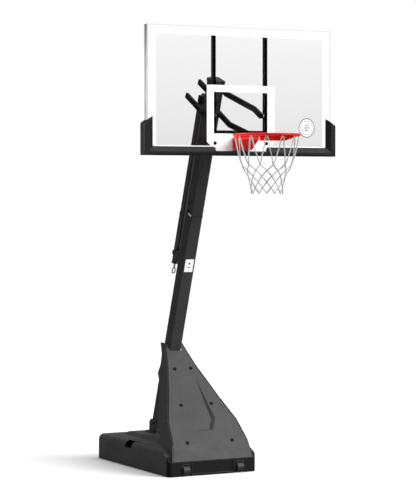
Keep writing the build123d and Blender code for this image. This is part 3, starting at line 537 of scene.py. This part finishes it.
def make_pad(node, name):
    """A moulded foam pad from its CAD solid, with its corners softened."""
    mesh = nodes[node].data.copy()
    obj = bpy.data.objects.new(name, mesh)
    scene.collection.objects.link(obj)
    remesh = obj.modifiers.new("remesh", "REMESH")
    remesh.mode = "VOXEL"
    remesh.voxel_size = PAD_VOXEL
    soft = obj.modifiers.new("soften", "SMOOTH")
    soft.factor = 0.5
    soft.iterations = PAD_SMOOTHING
    bpy.context.view_layer.update()
    depsgraph = bpy.context.evaluated_depsgraph_get()
    shaped = bpy.data.meshes.new_from_object(obj.evaluated_get(depsgraph))
    obj.modifiers.clear()
    obj.data = shaped
    shaped.name = name
    shaped.materials.clear()
    shaped.materials.append(FINISHES["pad_foam"])
    for polygon in shaped.polygons:
        polygon.use_smooth = True
    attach(obj, "board")
    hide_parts(node)


for side in ("left", "right"):
    make_pad("corner_pad_" + side, "pad_corner_" + side)
make_pad("centre_pad", "pad_centre")


# ------------------------------------------------------------- board print

glass_low, glass_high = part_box("glass_panel")
FACE = glass_low.y
PRINT = 0.0004
# How far the front and the back of each print stand before the glass, in print thicknesses.
BORDER_LIFT = (1.0, 0.125)
TARGET_LIFT = (2.0, 1.125)
GROUND_LIFT = (1.2, 0.1)
MARK_LIFT = (2.4, 1.3)
BORDER_GAP = 0.001
BORDER_CORNER = 0.006
OPENING = box_corners(-0.695, 0.695, 2.464, 3.262)
TARGET_OUTER = mirrored([(0.205, 2.426), (0.282, 2.492), (0.282, 2.905)])
TARGET_INNER = mirrored([(0.12, 2.553), (0.225, 2.5531), (0.225, 2.855)])
BADGE = Vector((0.558, 2.604))
BADGE_STRETCH = 1.06
BADGE_RINGS = ((0.068, 0.0605), (0.050, 0.0455))
BADGE_GROUND = (0.065, 0.069)
# The badge's bars: heights against its middle and half lengths.
BADGE_BARS = ((-0.020, 0.018), (0.0, 0.028), (0.020, 0.018))
BAR_HALF = 0.0045
BAR_CORNER = 0.004


def print_levels(lift):
    """The Y of a print's front and of its back."""
    return [FACE - share * PRINT for share in lift]


def print_ring(name, outer, inner, lift, material):
    bm = bmesh.new()
    sheet_between(bm, outer, inner, *print_levels(lift))
    new_object(name, bm, "glass", "board", material)


def make_prints():
    x = glass_high.x - BORDER_GAP
    edge = box_corners(-x, x, glass_low.z + BORDER_GAP, glass_high.z - BORDER_GAP)
    print_ring("print_border", rounded_outline(edge, BORDER_CORNER),
               rounded_outline(OPENING, BORDER_CORNER), BORDER_LIFT, "print_white")
    print_ring("print_target", TARGET_OUTER, TARGET_INNER, TARGET_LIFT, "print_white")
    for index, radii in enumerate(BADGE_RINGS):
        outer, inner = (ellipse(BADGE, r, r * BADGE_STRETCH, 64) for r in radii)
        print_ring("badge_ring_%d" % index, outer, inner, MARK_LIFT, "mark_grey")
    bm = bmesh.new()
    plate(bm, ellipse(BADGE, *BADGE_GROUND, 64), *print_levels(GROUND_LIFT))
    new_object("badge_ground", bm, "glass", "board", "print_white")
    bm = bmesh.new()
    for rise, half in BADGE_BARS:
        z = BADGE.y + rise
        bar = box_corners(BADGE.x - half, BADGE.x + half, z - BAR_HALF, z + BAR_HALF)
        plate(bm, rounded_outline(bar, BAR_CORNER), *print_levels(MARK_LIFT))
    new_object("badge_bars", bm, "glass", "board", "mark_grey")


# The edge trim's section: how far out from the glass's edge, and how far before its face.
TRIM_SECTION = ((0.0018, 0.0002), (0.0024, -0.0008), (0.0024, -0.0072), (0.0018, -0.0082),
                (-0.0080, -0.0082), (-0.0088, -0.0088), (-0.0088, 0.0008), (-0.0080, 0.0014))
TRIM_FOOT = glass_low.z + 0.05
TRIM_BEVEL = 0.0006


def make_edge_trim():
    """A white rubber channel round the top and the sides of the glass."""
    x, top = glass_high.x, glass_high.z
    bm = bmesh.new()
    sections = []
    for side, z, corner in ((1, TRIM_FOOT, 0), (1, top, 1), (-1, top, 1), (-1, TRIM_FOOT, 0)):
        sections.append([bm.verts.new((side * (x + out), FACE - before, z + corner * out))
                         for out, before in TRIM_SECTION])
    skin(bm, sections)
    trim = new_object("edge_trim", bm, "nylon", "board", "edge_rubber")
    bevel = trim.modifiers.new("soft", "BEVEL")
    bevel.width = TRIM_BEVEL
    bevel.segments = 2


make_prints()
make_edge_trim()


# ------------------------------------------------------------ pole details

POLE_LEAN = math.atan(0.351)  # forward from upright
RIGHT = Vector((1, 0, 0))
POLE_UP = Vector((0, -math.sin(POLE_LEAN), math.cos(POLE_LEAN)))
POLE_BACK = Vector((0, math.cos(POLE_LEAN), math.sin(POLE_LEAN)))
LABEL_Z = 1.561
# The label and its marks: half width, half height, place up the pole, thickness, finish and
# corner radius.
LABEL = {
    "pole_label": (0.036, 0.052, 0.0, 0.0006, "print_white", 0.006),
    "pole_label_mark_a": (0.008, 0.007, 0.018, 0.0010, "mark_grey", 0.004),
    "pole_label_mark_b": (0.012, 0.003, -0.014, 0.0010, "mark_grey", 0.0015),
}
SEAL_HALF = 0.0022
SEAL_PROUD = 0.0009
BELOW_JOINT = 0.006
CLIP_BACK = 0.031
CLIP_RISE = 0.009
CLIP_TILT = 0.1
CLIP_HALF = (0.0045, 0.026)
CLIP_CORNER = 0.004
CLIP_LIFT = 0.0035
PIN_R = 0.0030
PIN_PLACE = (0.0, 0.014)
PIN_LIFT = 0.0060


def front_place(node, x, z):
    """Where a level line from the front first meets a node, or None."""
    hit, place = nodes[node].ray_cast(Vector((x, -3, z)), Vector((0, 1, 0)))[:2]
    return place if hit else None


def layer(name, outline, centre, right, up, lift, slot, material=None):
    """A thin plate on a flat face. Its outline lies along right and up, and it stands proud by
    lift."""
    out = right.cross(up)
    bm = bmesh.new()
    skin(bm, [[bm.verts.new(centre + right * p.x + up * p.y + out * height) for p in outline]
              for height in (lift, APART)])
    new_object(name, bm, slot, "root", material)


def make_label():
    """A plain white label with two neutral marks, on the pole's front face."""
    centre = front_place("pole_lower", 0, LABEL_Z)
    for name, (half_x, half_z, rise, lift, material, radius) in LABEL.items():
        box = box_corners(-half_x, half_x, rise - half_z, rise + half_z)
        layer(name, rounded_outline(box, radius), centre, RIGHT, POLE_UP, lift, "nylon", material)


def make_joint_trim():
    """A black seal round the pole's joint, and a white clip across its left side."""
    below = front_place("pole_lower", 0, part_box("pole_upper")[0].z - BELOW_JOINT)
    joint = below + POLE_UP * BELOW_JOINT
    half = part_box("pole_lower")[1].x
    bm = bmesh.new()
    outer, inner = (box_corners(-r, r, -r, r) for r in (half + SEAL_PROUD, half + APART))
    sheet_between(bm, outer, inner, -SEAL_HALF, SEAL_HALF)
    turn = Matrix((RIGHT, POLE_UP, POLE_BACK)).transposed().to_4x4()
    bm.transform(Matrix.Translation(joint + POLE_BACK * half) @ turn)
    new_object("joint_seal", bm, "black_plastic", "root", "black_screw")
    centre = Vector((-half, joint.y, joint.z)) + POLE_BACK * CLIP_BACK + POLE_UP * CLIP_RISE
    up = (POLE_UP * CLIP_TILT + POLE_BACK).normalized()
    right = up.cross(-RIGHT)
    wide, long = CLIP_HALF
    blade = rounded_outline(box_corners(-wide, wide, -long, long), CLIP_CORNER)
    layer("joint_clip", blade, centre, right, up, CLIP_LIFT, "nylon")
    layer("joint_clip_pin", ellipse(PIN_PLACE, PIN_R, PIN_R, 16), centre, right, up, PIN_LIFT,
          "zinc")


make_label()
make_joint_trim()


# ------------------------------------------------------------- tank details

TANK_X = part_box("base_tank")[1].x
DECK = 0.198
SHOULDER = 0.046
GRIP_Y = (0.0, 0.112)
GRIP_Z = 0.146
GRIP_SHADE_THICKNESS = 0.0008
CREASE_SHADE_IN = 0.005
CREASE_SHADE_DROP = 0.0028
CREASE_SHADE_LENGTH = 0.44
CREASE_SHADE_R = 0.0055
CREASE_SHADE_TAPER = 0.45
CREASE_SHADE_STEPS = 24
ARC_STEPS = 8


def make_grip_shade(side, name):
    """Painted shade: a black sheet on the back, the floor and the ends of a hand grip in the tank's
    side, where the grip lies in shadow.
    """
    back = TANK_X - SHOULDER
    end = [(TANK_X, GRIP_Z)]
    for step in range(ARC_STEPS + 1):
        turn = math.radians(90 * step / ARC_STEPS)
        end.append((back + SHOULDER * math.cos(turn), DECK - SHOULDER + SHOULDER * math.sin(turn)))
    end.append((back, GRIP_Z))
    angle = [(back, DECK - GRIP_SHADE_THICKNESS), (back + GRIP_SHADE_THICKNESS, DECK - GRIP_SHADE_THICKNESS), (back + GRIP_SHADE_THICKNESS, GRIP_Z + GRIP_SHADE_THICKNESS),
             (TANK_X - GRIP_SHADE_THICKNESS, GRIP_Z + GRIP_SHADE_THICKNESS), (TANK_X - GRIP_SHADE_THICKNESS, GRIP_Z), (back, GRIP_Z)]
    bm = bmesh.new()
    low, high = GRIP_Y
    for outline, front, rear in ((angle, low, high), (end, low, low + GRIP_SHADE_THICKNESS),
                                 (end, high - GRIP_SHADE_THICKNESS, high)):
        plate(bm, [Vector((side * x, z)) for x, z in outline], front, rear)
    new_object(name, bm, "moulded_charcoal", "root", "black_screw")


def make_deck_crease_shade(side, name):
    """Painted shade: a dark tapering rib along the deck's edge, from the hand grip towards the
    front, where a crease lies in shadow.
    """
    x = side * (TANK_X - SHOULDER + CREASE_SHADE_IN)
    line = [Vector((x, GRIP_Y[0] - CREASE_SHADE_LENGTH * step / CREASE_SHADE_STEPS, DECK - CREASE_SHADE_DROP))
            for step in range(CREASE_SHADE_STEPS + 1)]
    bm = bmesh.new()
    tube(bm, line, CREASE_SHADE_R, sides=12, taper=lambda share: 1.0 - CREASE_SHADE_TAPER * share)
    new_object(name, bm, "moulded_charcoal", "root", "black_screw", smooth=True)


for side, hand in ((1, "right"), (-1, "left")):
    make_grip_shade(side, "grip_shade_" + hand)
    make_deck_crease_shade(side, "deck_crease_shade_" + hand)


# -------------------------------------------------------------- cover groove shade

# The right edge of the cover's face, from the tank up.
COVER_EDGE = ((0.3385, 0.205), (0.3155, 0.247), (0.2895, 0.390), (0.2155, 0.547), (0.1715, 0.656),
              (0.1155, 0.790), (0.0855, 0.891), (0.0745, 0.930))
GROOVE_SHADE_R = 0.0036
GROOVE_SHADE_STEPS = 12


def make_cover_groove_shade():
    """Painted shade: a black cord in the groove down each edge of the cover's face, where the crease
    lies in shadow.
    """
    for side, name in ((1, "cover_groove_shade_right"), (-1, "cover_groove_shade_left")):
        line = []
        for (x0, z0), (x1, z1) in zip(COVER_EDGE, COVER_EDGE[1:]):
            for step in range(GROOVE_SHADE_STEPS):
                t = step / GROOVE_SHADE_STEPS
                line.append(front_place("cover", side * (x0 + (x1 - x0) * t), z0 + (z1 - z0) * t))
        bm = bmesh.new()
        tube(bm, [place for place in line if place], GROOVE_SHADE_R, sides=10)
        new_object(name, bm, "black_plastic", "root", "black_screw", smooth=True)


make_cover_groove_shade()


# --------------------------------------------------------- breakaway spring

WIRE_R = 0.00155
BRIDGE_HALF = 0.008
SPRING_TURNS = 9
TURN_STEPS = 16


def make_spring():
    """Two coils of wire on the hinge pin, joined by a bridge that bears on the plate."""
    low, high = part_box("breakaway_spring")
    middle = (low + high) / 2
    radius = (high.z - low.z) / 2 - WIRE_R
    count = SPRING_TURNS * TURN_STEPS
    bm = bmesh.new()
    for side in (1, -1):
        points = []
        for i in range(count + 1):
            a = 2 * math.pi * i / TURN_STEPS * side
            x = side * (BRIDGE_HALF + (high.x - WIRE_R - BRIDGE_HALF) * i / count)
            points.append(Vector((x, middle.y + radius * math.cos(a),
                                  middle.z + radius * math.sin(a))))
        tube(bm, points, WIRE_R)
    bridge = [Vector((x, middle.y + radius, middle.z)) for x in (-BRIDGE_HALF, 0.0, BRIDGE_HALF)]
    tube(bm, bridge, WIRE_R)
    spring = new_object("spring_coils", bm, "zinc", "board", smooth=True)
    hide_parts("breakaway_spring")


make_spring()


# ------------------------------------------------------- stage, light, view

FLOOR_R = 9.0
FLOOR_Z = -0.0005
FLOOR_SEEN = (0.84, 0.84, 0.84)
FLOOR_BOUNCE = (0.30, 0.30, 0.30)
# The studio's light is the product of two ramps: over how high a direction points, and over how
# much it points along SKY_FACING. Each runs between its first two numbers, and its last two are its
# values there.
SKY_RAMP = (0.1, 1.0, 0.30, 2.3)
SKY_FACING = (0.64, -0.77, 0.0)
FACING_RAMP = (-0.7, 1.0, 0.16, 1.35)
SUN_FROM = Vector((0.58, -0.66, 0.44))
SUN_ANGLE = 36
SUN_STRENGTH = 3.1
SPOT_PLACE = Vector((-3.3, 0.1, 2.9))
SPOT_TARGET = Vector((-0.80, -1.12, 2.72))
SPOT_CONE = 26
SPOT_POWER = 520
LENS = 143.54
SENSOR_WIDTH = 36
CAMERA_PLACE = Vector((-7.0442, -13.8071, 2.1500))
CAMERA_TARGET = Vector((-0.27285, -1.06945, 1.71158))


def make_floor():
    """A pale floor, which the camera sees brighter than it lights the object."""
    bm = bmesh.new()
    bmesh.ops.create_circle(bm, cap_ends=True, segments=96, radius=FLOOR_R)
    mesh = mesh_from(bm, "floor", smooth=False)
    floor = bpy.data.objects.new("floor", mesh)
    scene.collection.objects.link(floor)
    floor.location.z = FLOOR_Z
    material, tree, shader = new_material("floor_paint")
    path = add(tree, "ShaderNodeLightPath").outputs
    seen = calculate(tree, "MAXIMUM", path["Is Camera Ray"], path["Is Transmission Ray"])
    tree.links.new(mix(tree, seen, FLOOR_BOUNCE, FLOOR_SEEN), shader.inputs["Base Color"])
    shader.inputs["Roughness"].default_value = 0.9
    shader.inputs["Specular IOR Level"].default_value = 0.1
    mesh.materials.append(material)


def make_world():
    """A plain white studio, which lights the object mostly from above and from the right of its
    front. The camera sees it white, also through the glass."""
    world = bpy.data.worlds.new("studio")
    scene.world = world
    world.use_nodes = True
    tree = world.node_tree
    coords = add(tree, "ShaderNodeTexCoord").outputs["Generated"]
    height = map_range(tree, along(tree, coords, "Z"), *SKY_RAMP)
    facing = add(tree, "ShaderNodeVectorMath", operation="DOT_PRODUCT")
    facing.inputs[1].default_value = SKY_FACING
    tree.links.new(coords, facing.inputs[0])
    turn = map_range(tree, facing.outputs["Value"], *FACING_RAMP)
    radiance = calculate(tree, "MULTIPLY", height, turn)
    path = add(tree, "ShaderNodeLightPath").outputs
    lighting = calculate(tree, "MAXIMUM", path["Is Diffuse Ray"], path["Is Glossy Ray"])
    lighting = calculate(tree, "SUBTRACT", lighting, path["Is Transmission Ray"], use_clamp=True)
    strength = add(tree, "ShaderNodeMix", data_type="FLOAT")
    strength.inputs[2].default_value = 1.0
    tree.links.new(lighting, strength.inputs[0])
    tree.links.new(radiance, strength.inputs[3])
    background = tree.nodes["Background"]
    background.inputs["Color"].default_value = (1, 1, 1, 1)
    tree.links.new(strength.outputs[0], background.inputs["Strength"])


def new_lamp(name, kind, power, aim):
    """A lamp that shines along aim."""
    data = bpy.data.lights.new(name, kind)
    data.energy = power
    lamp = bpy.data.objects.new(name, data)
    scene.collection.objects.link(lamp)
    lamp.rotation_euler = aim.to_track_quat("-Z", "Y").to_euler()
    return lamp


def make_lights():
    """A broad sun, and a narrow light on the board's left edge."""
    sun = new_lamp("key", "SUN", SUN_STRENGTH, -SUN_FROM)
    sun.data.angle = math.radians(SUN_ANGLE)
    spot = new_lamp("edge_light", "SPOT", SPOT_POWER, SPOT_TARGET - SPOT_PLACE)
    spot.location = SPOT_PLACE
    spot.data.spot_size = math.radians(SPOT_CONE)
    spot.data.spot_blend = 0.6
    spot.data.shadow_soft_size = 0.25


def make_camera():
    data = bpy.data.cameras.new("camera")
    data.lens = LENS
    data.sensor_width = SENSOR_WIDTH
    data.clip_end = 200
    camera = bpy.data.objects.new("camera", data)
    scene.collection.objects.link(camera)
    camera.location = CAMERA_PLACE
    aim = CAMERA_TARGET - CAMERA_PLACE
    camera.rotation_euler = aim.to_track_quat("-Z", "Y").to_euler()
    scene.camera = camera


make_floor()
make_world()
make_lights()
make_camera()
